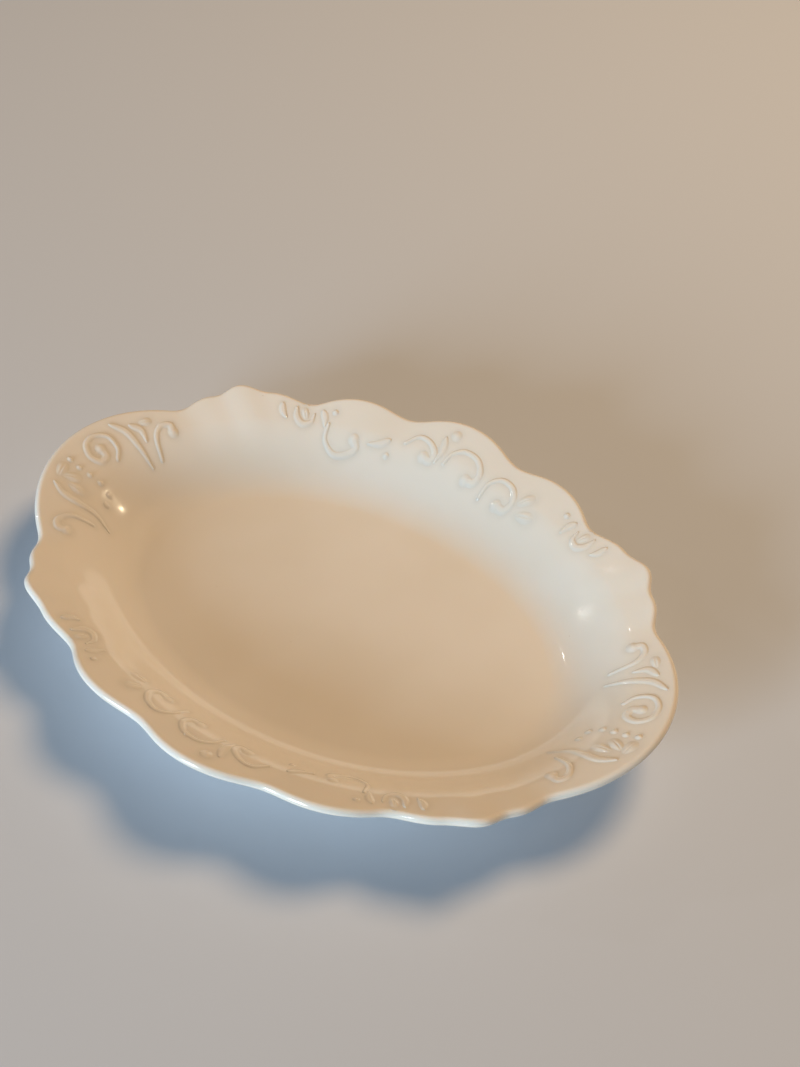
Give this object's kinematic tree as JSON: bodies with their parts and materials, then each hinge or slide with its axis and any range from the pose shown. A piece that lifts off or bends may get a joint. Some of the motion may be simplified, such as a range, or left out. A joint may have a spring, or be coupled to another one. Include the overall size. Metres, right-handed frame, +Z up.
{
  "type": "serving platter",
  "caption": "Oval porcelain serving platter with a deep dished well, flared scalloped rim, raised scroll ornament and a foot ring.",
  "frame": {"origin": "under the middle of the foot ring, on the surface that the platter stands on", "axes": "+Z up out of the dish, +X along the platter, +Y across it towards the far side"},
  "size_m": [0.3557, 0.2762, 0.0427],
  "materials": {
    "glazed_body": "white hard porcelain under a clear, slightly warm gloss glaze",
    "foot_ring": "glazed sides and a bare, ground porcelain standing edge",
    "relief": "white raised ornament under the same clear gloss glaze, which pools round it"
  },
  "bodies": {
    "root": {"far_bud_and_leaf": "relief", "far_c_scroll": "relief", "far_end_arch": "relief", "far_large_arch": "relief", "far_leaf_and_bead": "relief", "far_small_arch": "relief", "foot_ring": "foot_ring", "left_bead_row": "relief", "left_big_curl": "relief", "left_curls": "relief", "left_far_corner_scroll": "relief", "left_far_tendril": "relief", "left_leaf_fan": "relief", "left_near_corner_scroll": "relief", "left_near_tendril": "relief", "near_bud_and_leaf": "relief", "near_c_scroll": "relief", "near_end_arch": "relief", "near_large_arch": "relief", "near_leaf_and_bead": "relief", "near_small_arch": "relief", "platter_body": "glazed_body", "right_bead_row": "relief", "right_big_curl": "relief", "right_curls": "relief", "right_far_corner_scroll": "relief", "right_far_tendril": "relief", "right_leaf_fan": "relief", "right_near_corner_scroll": "relief", "right_near_tendril": "relief", "rocaille_far_left": "relief", "rocaille_far_right": "relief", "rocaille_near_left": "relief", "rocaille_near_right": "relief"}
  },
  "joints": []
}
